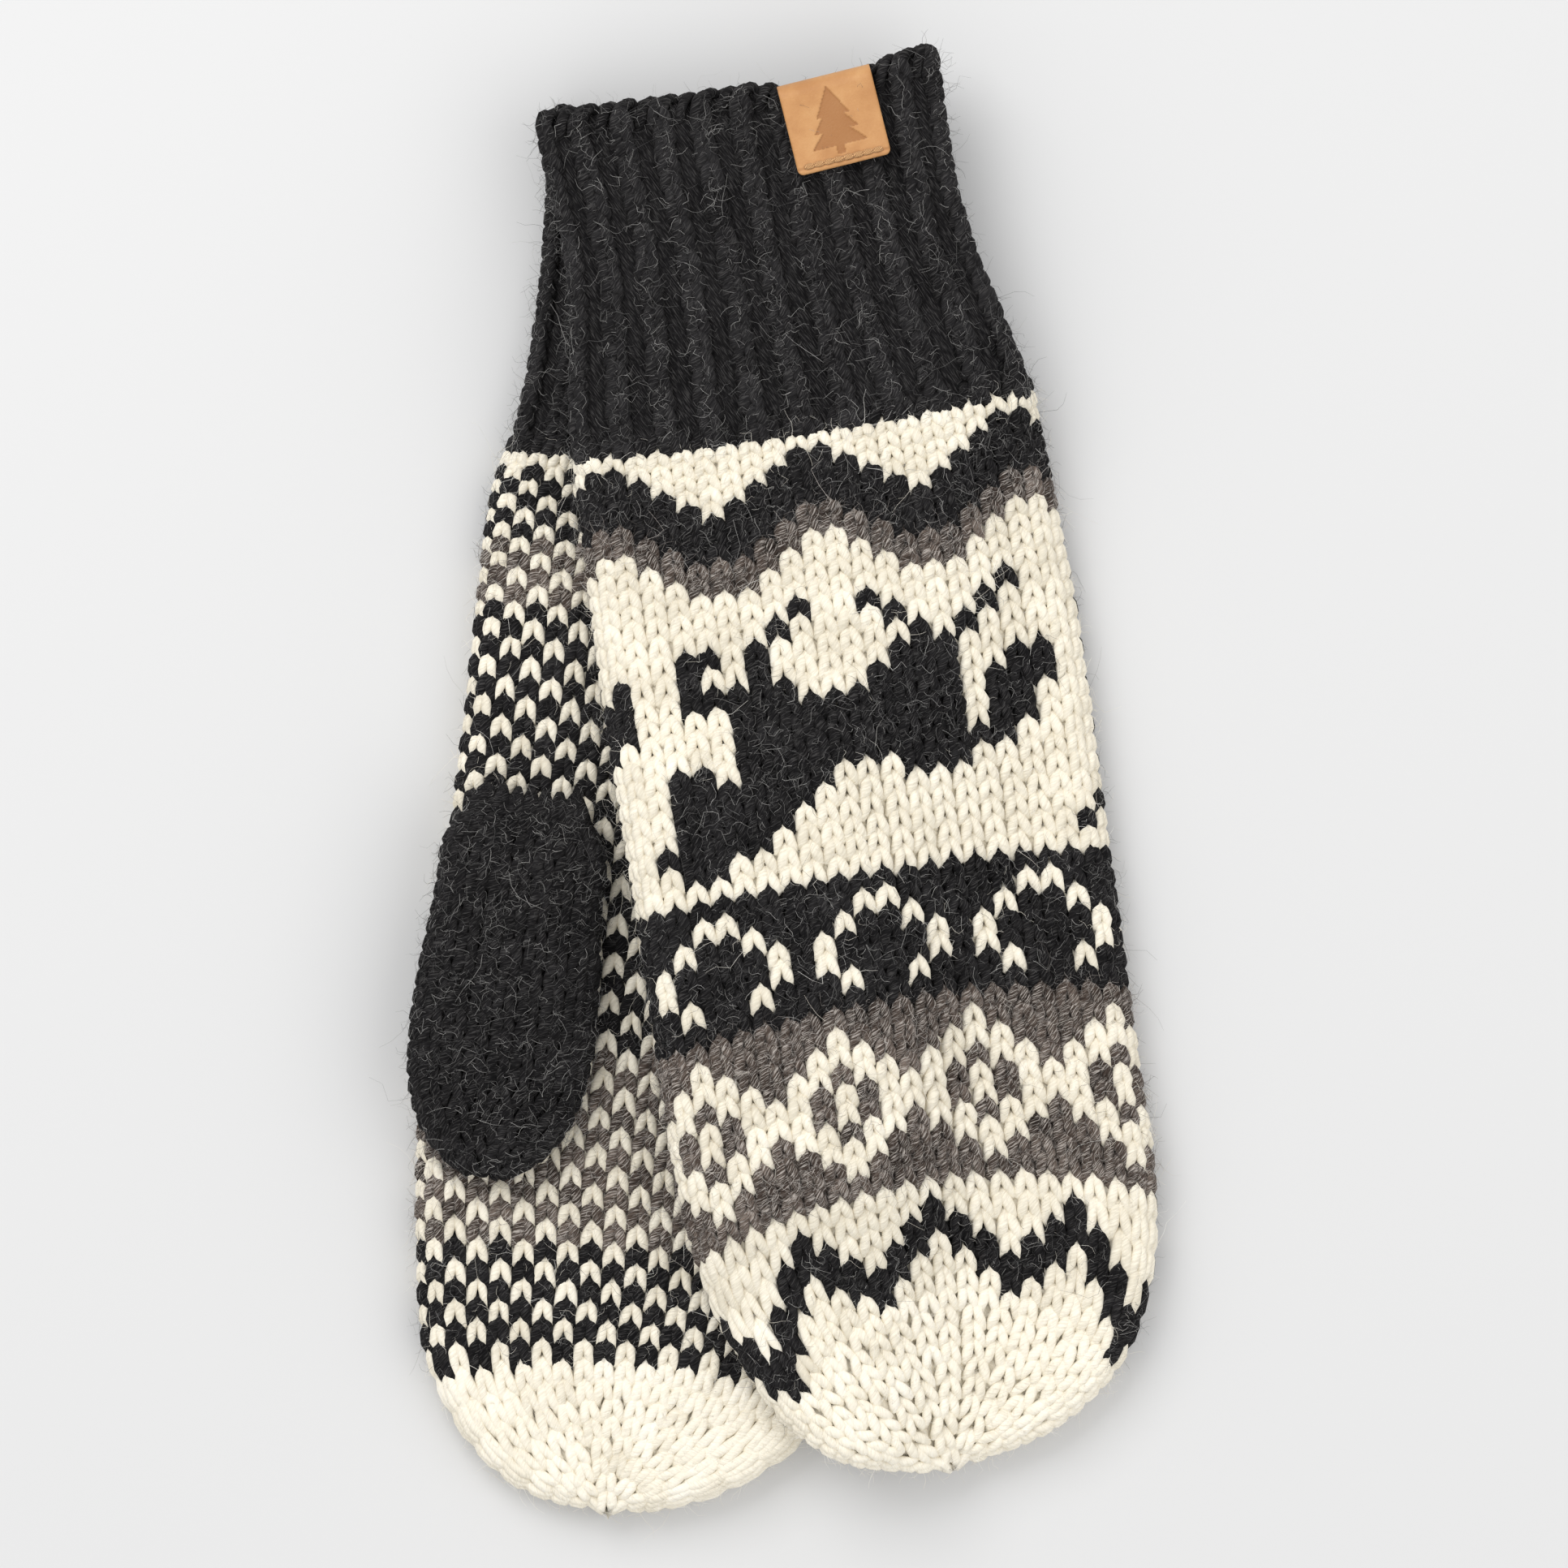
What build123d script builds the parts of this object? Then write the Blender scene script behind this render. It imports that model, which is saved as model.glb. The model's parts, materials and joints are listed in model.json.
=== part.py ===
from build123d import *
import os
from math import cos, pi, radians, sin

# A pair of knitted wool mittens lying flat, the left one across the right one.
# Lengths are millimetres. +Y points to the cuffs, +Z points up from the table.

# Knitted fabric
WALL = 3.4
CAVITY = 4.8
HAND_THICKNESS = 2 * WALL + CAVITY
THUMB_WALL = 3.0
THUMB_CAVITY = 2.4
THUMB_THICKNESS = 2 * THUMB_WALL + THUMB_CAVITY
RIB_COUNT = 22
RIB_DEPTH = 1.0
POINTS_PER_RIB = 6

# Rests and clearances
BODY_GAP = 0.3
UNDERSIDE_DIP = 0.3
STACK_HEIGHT = HAND_THICKNESS + BODY_GAP
THUMB_STACK = THUMB_THICKNESS + 2 * BODY_GAP

# Each mitten runs from the middle of its cuff edge towards its fingertip
RIGHT_CUFF_EDGE = (-8.2, 132.1)
RIGHT_LEAN = -4.5
LEFT_CUFF_EDGE = (-9.0, 137.1)
LEFT_LEAN = 8.74
WRIST_STATION = 68.0
CAP_STATION = 243.0

# (distance from the cuff edge, sideways offset, half width, thickness)
RIGHT_OUTLINE = [
    (68.0, 0.3, 43.6, 11.6),
    (80.0, -0.1, 45.8, 11.6),
    (101.0, -0.5, 46.2, 11.6),
    (126.0, -0.8, 46.8, 11.6),
    (160.0, -1.2, 47.6, 11.6),
    (200.0, -1.8, 48.4, 11.6),
    (224.0, -1.6, 47.6, 11.6),
    (243.0, -2.0, 45.0, 11.6),
    (259.0, -2.9, 39.8, 11.6),
    (267.0, -3.8, 34.4, 11.4),
    (273.0, -5.0, 27.2, 10.6),
    (277.5, -5.8, 18.0, 8.8),
    (279.6, -6.2, 7.0, 5.6),
]
RIGHT_CUFF_OUTLINE = [
    (0.0, 0.0, 40.0, 11.6),
    (27.0, 0.0, 39.5, 11.6),
    (50.0, 0.3, 40.8, 11.6),
    (68.0, 0.3, 43.6, 11.6),
]
LEFT_OUTLINE = [
    (68.0, 2.7, 47.2, 11.6),
    (88.0, 2.9, 48.1, 11.6),
    (112.0, 3.0, 49.0, 11.6),
    (160.0, 2.8, 48.4, 11.6),
    (205.0, 2.2, 48.2, 11.6),
    (220.0, 2.6, 48.0, 11.6),
    (236.0, 2.9, 46.4, 11.6),
    (250.0, 3.2, 42.6, 11.6),
    (259.0, 3.0, 37.8, 11.6),
    (266.0, 2.2, 32.0, 11.4),
    (271.5, 1.2, 25.0, 10.6),
    (275.5, 0.5, 16.4, 8.8),
    (277.6, 0.5, 6.5, 5.6),
]
LEFT_CUFF_OUTLINE = [
    (-6.0, -0.2, 41.2, 11.6),
    (10.0, -0.2, 41.4, 11.6),
    (24.0, 0.4, 40.9, 11.6),
    (46.0, 1.4, 43.8, 11.6),
    (68.0, 2.7, 47.2, 11.6),
]

# Thumbs: (distance from the thumb base, half width, height above the palm)
THUMB_OUTLINE = [
    (0.9, 11.8, 3.6),
    (3.9, 12.6, 5.2),
    (9.0, 16.2, 7.4),
    (18.0, 17.2, 8.4),
    (32.0, 18.2, 8.4),
    (48.0, 19.0, 8.4),
    (60.0, 18.0, 8.4),
    (68.0, 15.2, 8.0),
    (74.0, 10.6, 7.0),
    (77.6, 5.0, 5.4),
]
THUMB_HOLLOW = [
    (8.0, 11.6, 2.0),
    (18.0, 13.6, 2.4),
    (40.0, 15.2, 2.4),
    (58.0, 14.6, 2.4),
    (68.0, 9.0, 2.2),
    (72.0, 5.0, 2.0),
]
RIGHT_THUMB_BASE = (136.5, -32.0)
RIGHT_THUMB_LEAN = -2.5
LEFT_THUMB_BASE = (137.0, -25.5)
LEFT_THUMB_LEAN = 0.0
SLIT_START = -0.2
SLIT_END = 4.6
SLIT_HALF_WIDTH = 13.0

# The left mitten drapes off the edge of the right one and over its own thumb
DRAPE_START = 42.0
DRAPE_LENGTH = 27.0
DRAPE_SPACING = 6.0
HOLLOW_SPACING = 12.0
THUMB_BUMP_EDGE = -5.0
THUMB_BUMP_FADE = 24.0
THUMB_BUMP_START = 112.0
THUMB_BUMP_RISE = 24.0
THUMB_BUMP_END = 213.0
THUMB_BUMP_FALL = 28.0

# The left cuff edge turns a little upwards beside the label
EDGE_KINK = (-2.0, 139.0)
EDGE_SLOPE_LEFT = 7.7
EDGE_SLOPE_RIGHT = 14.0

# Leather label folded over the top layer of the left cuff
LABEL_WIDTH = 19.0
LABEL_LENGTH = 18.6
LABEL_THICKNESS = 1.2
LABEL_CLEARANCE = 0.2
LABEL_ALONG_EDGE = 9.8
LABEL_INSET = 2.8
LABEL_NOTCH = 0.5
LABEL_CORNER = 1.2
LABEL_STITCHES = 8
STITCH_LENGTH = 1.5
STITCH_WIDTH = 0.5
STITCH_HEIGHT = 0.35
STITCH_INSET = 1.4

EDGE_ANGLES = [-90, -67.5, -45, -22.5, 0, 22.5, 45, 67.5, 90]
FLAT_POINTS = 11
FAR = 400.0


def soft_step(value):
    """Rise smoothly from 0 to 1 as the value goes from 0 to 1."""
    clipped = min(max(value, 0.0), 1.0)
    return clipped * clipped * (3 - 2 * clipped)


class Line:
    """A straight line across the table that a tube is laid along."""

    def __init__(self, start, lean):
        self.start = start
        self.lean = lean
        self.along = (sin(radians(lean)), -cos(radians(lean)))
        self.across = (cos(radians(lean)), sin(radians(lean)))

    def point(self, station, offset):
        """Table position of a distance along and a distance sideways."""
        x = self.start[0] + self.along[0] * station + self.across[0] * offset
        y = self.start[1] + self.along[1] * station + self.across[1] * offset
        return (x, y)

    def measure(self, x, y):
        """Distance along and distance sideways of a table position."""
        dx = x - self.start[0]
        dy = y - self.start[1]
        station = dx * self.along[0] + dy * self.along[1]
        offset = dx * self.across[0] + dy * self.across[1]
        return (station, offset)

    def slab(self, first, last, low=-FAR / 4, high=FAR / 4, half_width=FAR / 2):
        """A block between two stations, square to the line."""
        middle = self.point((first + last) / 2, 0)
        block = Box(2 * half_width, last - first, high - low)
        return Pos(middle[0], middle[1], (low + high) / 2) * Rot(0, 0, self.lean) * block


right_line = Line(RIGHT_CUFF_EDGE, RIGHT_LEAN)
left_line = Line(LEFT_CUFF_EDGE, LEFT_LEAN)


def table_lift(x, y):
    """Height of the right mitten's underside: it lies on the table."""
    return 0.0


def drape_lift(x, y):
    """Height of the left mitten's underside above the table."""
    beyond = right_line.measure(x, y)[1] - DRAPE_START
    base = BODY_GAP + STACK_HEIGHT * (1 - soft_step(beyond / DRAPE_LENGTH))
    station, offset = left_line.measure(x, y)
    sideways = 1 - soft_step((offset - THUMB_BUMP_EDGE) / THUMB_BUMP_FADE)
    rise = soft_step((station - THUMB_BUMP_START) / THUMB_BUMP_RISE)
    fall = 1 - soft_step((station - THUMB_BUMP_END) / THUMB_BUMP_FALL)
    return base + THUMB_STACK * sideways * rise * fall


def flat_ring(half_width, thickness):
    """Points round a flattened tube: two round folds and two flat faces."""
    radius = thickness / 2
    reach = half_width - radius
    points = []
    for side in (1, -1):
        for angle in EDGE_ANGLES:
            turned = radians(angle)
            points.append((side * (reach + radius * cos(turned)), side * radius * sin(turned)))
        for step in range(1, FLAT_POINTS + 1):
            share = step / (FLAT_POINTS + 1)
            points.append((side * (reach - 2 * reach * share), side * radius))
    return points


def ribbed_ring(half_width, thickness):
    """Points round a flattened tube whose outside is knitted in ribs."""
    radius = thickness / 2
    reach = half_width - radius
    length = 4 * reach + 2 * pi * radius
    count = RIB_COUNT * POINTS_PER_RIB
    points = []
    for index in range(count):
        travelled = length * index / count
        depth = RIB_DEPTH * (1 - cos(2 * pi * index / POINTS_PER_RIB)) / 2
        grown = radius - depth
        if travelled < 2 * reach:
            points.append((reach - travelled, grown))
        elif travelled < 2 * reach + pi * radius:
            turned = pi / 2 + (travelled - 2 * reach) / radius
            points.append((-reach + grown * cos(turned), grown * sin(turned)))
        elif travelled < 4 * reach + pi * radius:
            points.append((-reach + travelled - 2 * reach - pi * radius, -grown))
        else:
            turned = -pi / 2 + (travelled - 4 * reach - pi * radius) / radius
            points.append((reach + grown * cos(turned), grown * sin(turned)))
    return points


def at_station(outline, station):
    """One row of an outline table, interpolated at a station."""
    for before, after in zip(outline, outline[1:]):
        if before[0] <= station <= after[0]:
            share = (station - before[0]) / (after[0] - before[0])
            return tuple(a + (b - a) * share for a, b in zip(before, after))
    return outline[-1]


def refined(outline, spacing):
    """The outline table with extra rows, none further apart than the spacing."""
    rows = []
    for before, after in zip(outline, outline[1:]):
        steps = max(1, round((after[0] - before[0]) / spacing))
        for step in range(steps):
            rows.append(at_station(outline, before[0] + (after[0] - before[0]) * step / steps))
    rows.append(outline[-1])
    return rows


def loft_rings(line, lift, rings, floor):
    """Solid through rings, each (station, offset, half height, points)."""
    wires = []
    for station, offset, half_height, points in rings:
        placed = []
        for sideways, up in points:
            x, y = line.point(station, offset + sideways)
            placed.append(Vector(x, y, floor + half_height + up + lift(x, y)))
        wires.append(Wire.make_polygon(placed, close=True))
    return Solid.make_loft(wires)


def outside(line, lift, outline, ring, floor):
    """Outer solid of a tube from its outline table."""
    rings = []
    for station, offset, half_width, thickness in outline:
        middle = HAND_THICKNESS / 2
        rings.append((station, offset, middle, ring(half_width, thickness)))
    return loft_rings(line, lift, rings, floor)


def inside(line, lift, outline, first, last, floor):
    """Hollow of a tube, one wall thickness inside the outline."""
    rings = []
    for station, offset, half_width, thickness in outline:
        if station >= first and station <= last:
            shrink = WALL + 0.5 + 4.0 * soft_step((station - CAP_STATION) / 30)
            share = 1 - 0.12 * soft_step((station - CAP_STATION) / 30)
            points = flat_ring(half_width - shrink, CAVITY * share)
            rings.append((station, offset, HAND_THICKNESS / 2, points))
    return loft_rings(line, lift, rings, floor)


def thumb(line, height, lift):
    """Hollow thumb lying on a palm whose surface is at the given height."""
    rings = []
    for station, half_width, tall in THUMB_OUTLINE:
        rings.append((station, 0, tall / 2, flat_ring(half_width, tall)))
    solid = loft_rings(line, lift, rings, height)
    hollow_rings = []
    for station, half_width, tall in THUMB_HOLLOW:
        middle = THUMB_THICKNESS / 2 if station > 10 else THUMB_THICKNESS / 2 - 0.7
        hollow_rings.append((station, 0, middle, flat_ring(half_width, tall)))
    solid = solid - loft_rings(line, lift, hollow_rings, height)
    profile = [(1.6, -0.6), (3.6, -0.6), (9.6, 2.6), (9.6, 4.4), (5.0, 2.4), (1.6, 0.6)]
    corners = []
    for station, up in profile:
        x, y = line.point(station, -9.0)
        corners.append(Vector(x, y, height + up))
    mouth_face = Face(Wire.make_polygon(corners, close=True))
    across = Vector(line.across[0], line.across[1], 0)
    return solid - Solid.extrude(mouth_face, across * 18.0)


def save(shape, shift, name, shade):
    """Write one named piece, moved with the whole pair."""
    piece = Pos(*shift) * Compound(shape.solids())
    piece.label = name
    piece.color = Color(*shade)
    export_step(piece, "parts/" + name + ".step")


os.makedirs("parts", exist_ok=True)
CREAM = (0.93, 0.89, 0.80)
CHARCOAL = (0.10, 0.10, 0.11)
TAN = (0.70, 0.43, 0.20)
THREAD = (0.62, 0.40, 0.20)

# Right mitten: palm up on the table
table_block = Pos(0, 0, -FAR / 8) * Box(2 * FAR, 2 * FAR, FAR / 4)
right_full = RIGHT_CUFF_OUTLINE[:-1] + RIGHT_OUTLINE
right_hollow = refined([(-6.0, 0.0, 40.0, 11.6)] + right_full[1:], HOLLOW_SPACING)
right_inner = inside(right_line, table_lift, right_hollow, -10, 273, 0)
right_body = outside(right_line, table_lift, RIGHT_OUTLINE, flat_ring, -UNDERSIDE_DIP)
right_rib = outside(right_line, table_lift, RIGHT_CUFF_OUTLINE, ribbed_ring, -UNDERSIDE_DIP)
right_shell = right_body - right_inner - table_block
right_thumb_start = right_line.point(RIGHT_THUMB_BASE[0], RIGHT_THUMB_BASE[1])
right_thumb_line = Line(right_thumb_start, RIGHT_LEAN + RIGHT_THUMB_LEAN)
palm_height = HAND_THICKNESS
slit_low = palm_height - WALL - 1.5
right_slit = right_thumb_line.slab(SLIT_START, SLIT_END, slit_low, palm_height + 3, SLIT_HALF_WIDTH)
right_hand = right_shell & right_line.slab(WRIST_STATION, CAP_STATION)
right_hand = right_hand - right_slit
right_fingertip = right_shell & right_line.slab(CAP_STATION, FAR)
right_cuff = right_rib - right_inner - table_block
right_thumb = thumb(right_thumb_line, palm_height + BODY_GAP, table_lift)

# Left mitten: back up, lying across the right one
left_rows = refined(LEFT_OUTLINE, DRAPE_SPACING)
left_hollow = [(-12.0, 0.0, 41.2, 11.6)] + LEFT_CUFF_OUTLINE[:-1] + left_rows
left_inner = inside(left_line, drape_lift, left_hollow, -20, 272, 0)
left_body = outside(left_line, drape_lift, left_rows, flat_ring, 0)
left_rib = outside(left_line, drape_lift, LEFT_CUFF_OUTLINE, ribbed_ring, 0)
left_shell = left_body - left_inner
left_thumb_start = left_line.point(LEFT_THUMB_BASE[0], LEFT_THUMB_BASE[1])
left_thumb_line = Line(left_thumb_start, LEFT_LEAN + LEFT_THUMB_LEAN)
left_underside = drape_lift(*left_thumb_line.point(3, 0))
left_slit = left_thumb_line.slab(SLIT_START, SLIT_END, left_underside - 1,
                                 left_underside + WALL + 1.5, SLIT_HALF_WIDTH)
left_hand = left_shell & left_line.slab(WRIST_STATION + BODY_GAP / 2, CAP_STATION)
left_hand = left_hand - left_slit
left_fingertip = left_shell & left_line.slab(CAP_STATION, FAR)
left_cuff = left_rib - left_inner
left_cuff = left_cuff & left_line.slab(-20, WRIST_STATION - BODY_GAP / 2)

# The left cuff edge: everything above two slopes that meet beside the label is cut off
left_slope = (cos(radians(EDGE_SLOPE_LEFT)), sin(radians(EDGE_SLOPE_LEFT)))
right_slope = (cos(radians(EDGE_SLOPE_RIGHT)), sin(radians(EDGE_SLOPE_RIGHT)))
edge_corners = [
    Vector(EDGE_KINK[0] - 100 * left_slope[0], EDGE_KINK[1] - 100 * left_slope[1], 0),
    Vector(EDGE_KINK[0], EDGE_KINK[1], 0),
    Vector(EDGE_KINK[0] + 100 * right_slope[0], EDGE_KINK[1] + 100 * right_slope[1], 0),
    Vector(100, 250, 0),
    Vector(-120, 250, 0),
]
edge_face = Face(Wire.make_polygon(edge_corners, close=True))
left_cuff = left_cuff - Solid.extrude(edge_face, Vector(0, 0, 60))

# Left thumb: hidden between the two mittens, the mirror image of the right one
thumb_flat = thumb(Line((0, 0), left_thumb_line.lean), 0, table_lift)
thumb_flipped = mirror(thumb_flat, about=Plane.XY)
left_thumb_top = drape_lift(*left_thumb_line.point(40, 0)) - BODY_GAP
left_thumb = Pos(left_thumb_start[0], left_thumb_start[1], left_thumb_top) * thumb_flipped

# Label: a strip folded into a U over the top layer of the cuff
label_turn = EDGE_SLOPE_RIGHT
cuff_top = BODY_GAP + STACK_HEIGHT + HAND_THICKNESS
wall_middle = cuff_top - WALL / 2
fold_inner = WALL / 2 + LABEL_CLEARANCE
fold_outer = fold_inner + LABEL_THICKNESS
leaf_length = LABEL_LENGTH - fold_outer
with BuildSketch(Plane.YZ) as label_profile:
    with Locations((-leaf_length / 2, 0)):
        Rectangle(leaf_length, 2 * fold_outer)
    Circle(fold_outer)
    Circle(fold_inner, mode=Mode.SUBTRACT)
    with Locations((-leaf_length / 2, 0)):
        Rectangle(leaf_length, 2 * fold_inner, mode=Mode.SUBTRACT)
label_strip = extrude(label_profile.sketch, LABEL_WIDTH / 2, both=True)
label_x = EDGE_KINK[0] + LABEL_ALONG_EDGE * right_slope[0] + LABEL_INSET * right_slope[1]
label_y = EDGE_KINK[1] + LABEL_ALONG_EDGE * right_slope[1] - LABEL_INSET * right_slope[0]
label_place = Pos(label_x, label_y, wall_middle) * Rot(0, 0, label_turn)
label_corners = label_strip.edges().filter_by(Axis.Z).sort_by(Axis.Y)[:4]
label_strip = fillet(label_corners, LABEL_CORNER)
leather_label = label_place * label_strip
notch = Pos(0, LABEL_NOTCH + 5, 0) * Box(LABEL_WIDTH + 0.8, 10, 2 * fold_outer)
left_cuff = left_cuff - label_place * notch

stitch_gap = (LABEL_WIDTH - 3.0) / LABEL_STITCHES
stitch_row = []
for number in range(LABEL_STITCHES):
    shift = (number - (LABEL_STITCHES - 1) / 2) * stitch_gap
    bar = Box(STITCH_LENGTH, STITCH_WIDTH, STITCH_HEIGHT)
    height = fold_outer + STITCH_HEIGHT / 2
    stitch_row.append(Pos(shift, -leaf_length + STITCH_INSET, height) * bar)
label_stitches = label_place * Compound(children=stitch_row)

pieces = [
    (right_cuff, "right_cuff", CHARCOAL),
    (right_hand, "right_hand", CREAM),
    (right_fingertip, "right_fingertip", CREAM),
    (right_thumb, "right_thumb", CHARCOAL),
    (left_cuff, "left_cuff", CHARCOAL),
    (left_hand, "left_hand", CREAM),
    (left_fingertip, "left_fingertip", CREAM),
    (left_thumb, "left_thumb", CHARCOAL),
    (leather_label, "leather_label", TAN),
    (label_stitches, "label_stitches", THREAD),
]

# The origin is on the table, under the middle of the whole pair
corners = [shape.bounding_box() for shape, name, shade in pieces]
low_x = min(box.min.X for box in corners)
high_x = max(box.max.X for box in corners)
low_y = min(box.min.Y for box in corners)
high_y = max(box.max.Y for box in corners)
shift = (-(low_x + high_x) / 2, -(low_y + high_y) / 2, 0)
for shape, name, shade in pieces:
    save(shape, shift, name, shade)
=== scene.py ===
import json
import math

import bmesh
import bpy
import numpy as np
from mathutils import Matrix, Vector
from mathutils.bvhtree import BVHTree


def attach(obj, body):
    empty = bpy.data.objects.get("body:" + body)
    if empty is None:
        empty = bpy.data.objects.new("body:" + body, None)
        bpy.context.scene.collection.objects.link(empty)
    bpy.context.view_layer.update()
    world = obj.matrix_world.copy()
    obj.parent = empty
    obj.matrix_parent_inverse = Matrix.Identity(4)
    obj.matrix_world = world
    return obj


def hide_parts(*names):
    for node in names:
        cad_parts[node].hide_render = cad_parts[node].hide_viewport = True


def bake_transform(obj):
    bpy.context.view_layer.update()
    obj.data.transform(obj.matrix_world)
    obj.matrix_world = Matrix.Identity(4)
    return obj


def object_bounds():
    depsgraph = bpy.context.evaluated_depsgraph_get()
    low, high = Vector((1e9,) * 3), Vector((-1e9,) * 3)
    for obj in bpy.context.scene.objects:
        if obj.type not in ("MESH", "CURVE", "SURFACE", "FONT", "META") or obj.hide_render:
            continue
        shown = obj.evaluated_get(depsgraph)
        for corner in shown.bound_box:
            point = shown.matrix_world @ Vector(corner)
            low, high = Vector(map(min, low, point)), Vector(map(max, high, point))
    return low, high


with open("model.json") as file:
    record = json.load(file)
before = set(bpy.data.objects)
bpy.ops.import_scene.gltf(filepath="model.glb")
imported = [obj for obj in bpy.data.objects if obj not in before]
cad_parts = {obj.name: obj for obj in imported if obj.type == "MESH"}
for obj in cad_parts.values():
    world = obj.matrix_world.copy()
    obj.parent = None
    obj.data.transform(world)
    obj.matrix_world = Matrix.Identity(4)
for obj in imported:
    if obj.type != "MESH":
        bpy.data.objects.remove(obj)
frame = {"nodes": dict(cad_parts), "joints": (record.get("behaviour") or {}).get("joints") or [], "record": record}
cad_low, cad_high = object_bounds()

# A pair of stranded-knit wool mittens, built stitch by stitch on the CAD model's surface.
# Metres throughout. A stitch is a tube of yarn bent into a loop. A station is a distance along a mitten
# from its cuff's edge, a height is a distance above the wrist or above a tube's own start, and a share
# is a part of the way round a tube.

MM = 0.001
STITCHES_ROUND = 44
FACE_STITCHES = 22
YARN_RADIUS = 1.12 * MM
YARN_DEPTH = 1.1 * MM
WRIST_STATION = 68 * MM

# Each cap's length, where its rows begin and finish turning into arcs round the tip, and its row counts
CAPS = {
    "left": {"length": 34 * MM, "turn_start": 62 * MM, "turn_end": 34 * MM,
             "counts": [44, 33, 33, 33, 22, 22, 22, 11, 11, 6]},
    "right": {"length": 28.5 * MM, "turn_start": 36 * MM, "turn_end": 9 * MM,
              "counts": [44, 44, 33, 33, 22, 22, 11, 6]},
}
LINER_DEPTH = 2.35 * MM
LINER_THICKNESS = 0.7 * MM

# Measuring: gaps between measured places, and how far outside the bodies the rays start
STATION_GAP = 2.0 * MM
SIDE_GAP = 0.8 * MM
MOUTH_SKIP = 9 * MM
TIP_SKIP = 0.05 * MM
SIDE_RAY = 0.12
HEIGHT_RAY = 0.2
LEAST_FLAT = 0.2 * MM

random = np.random.default_rng(20240611)


# ---- surfaces read from the CAD

def named(items, name):
    return next(item for item in items if item["name"] == name)


def bvh_of(nodes):
    """Ray-casting tree and vertices of CAD nodes."""
    points, faces = [], []
    for node in nodes:
        mesh = frame["nodes"][node].data
        base = len(points)
        points += [vertex.co.copy() for vertex in mesh.vertices]
        faces += [[base + index for index in polygon.vertices] for polygon in mesh.polygons]
    return BVHTree.FromPolygons(points, faces), np.array([tuple(point) for point in points])


def smooth_along(values, axis, times):
    for _ in range(times):
        padded = np.concatenate([values.take([0], axis), values, values.take([-1], axis)], axis)
        count = values.shape[axis]
        low = padded.take(range(0, count), axis)
        high = padded.take(range(2, count + 2), axis)
        values = (low + 2 * values + high) / 4
    return values


def fill_gaps(values):
    """Values at NaN places come from their neighbours along the row."""
    values = np.array(values, float)
    places = np.arange(len(values))
    known = ~np.isnan(values)
    if not known.any():
        return values
    return np.interp(places, places[known], values[known])


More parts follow.
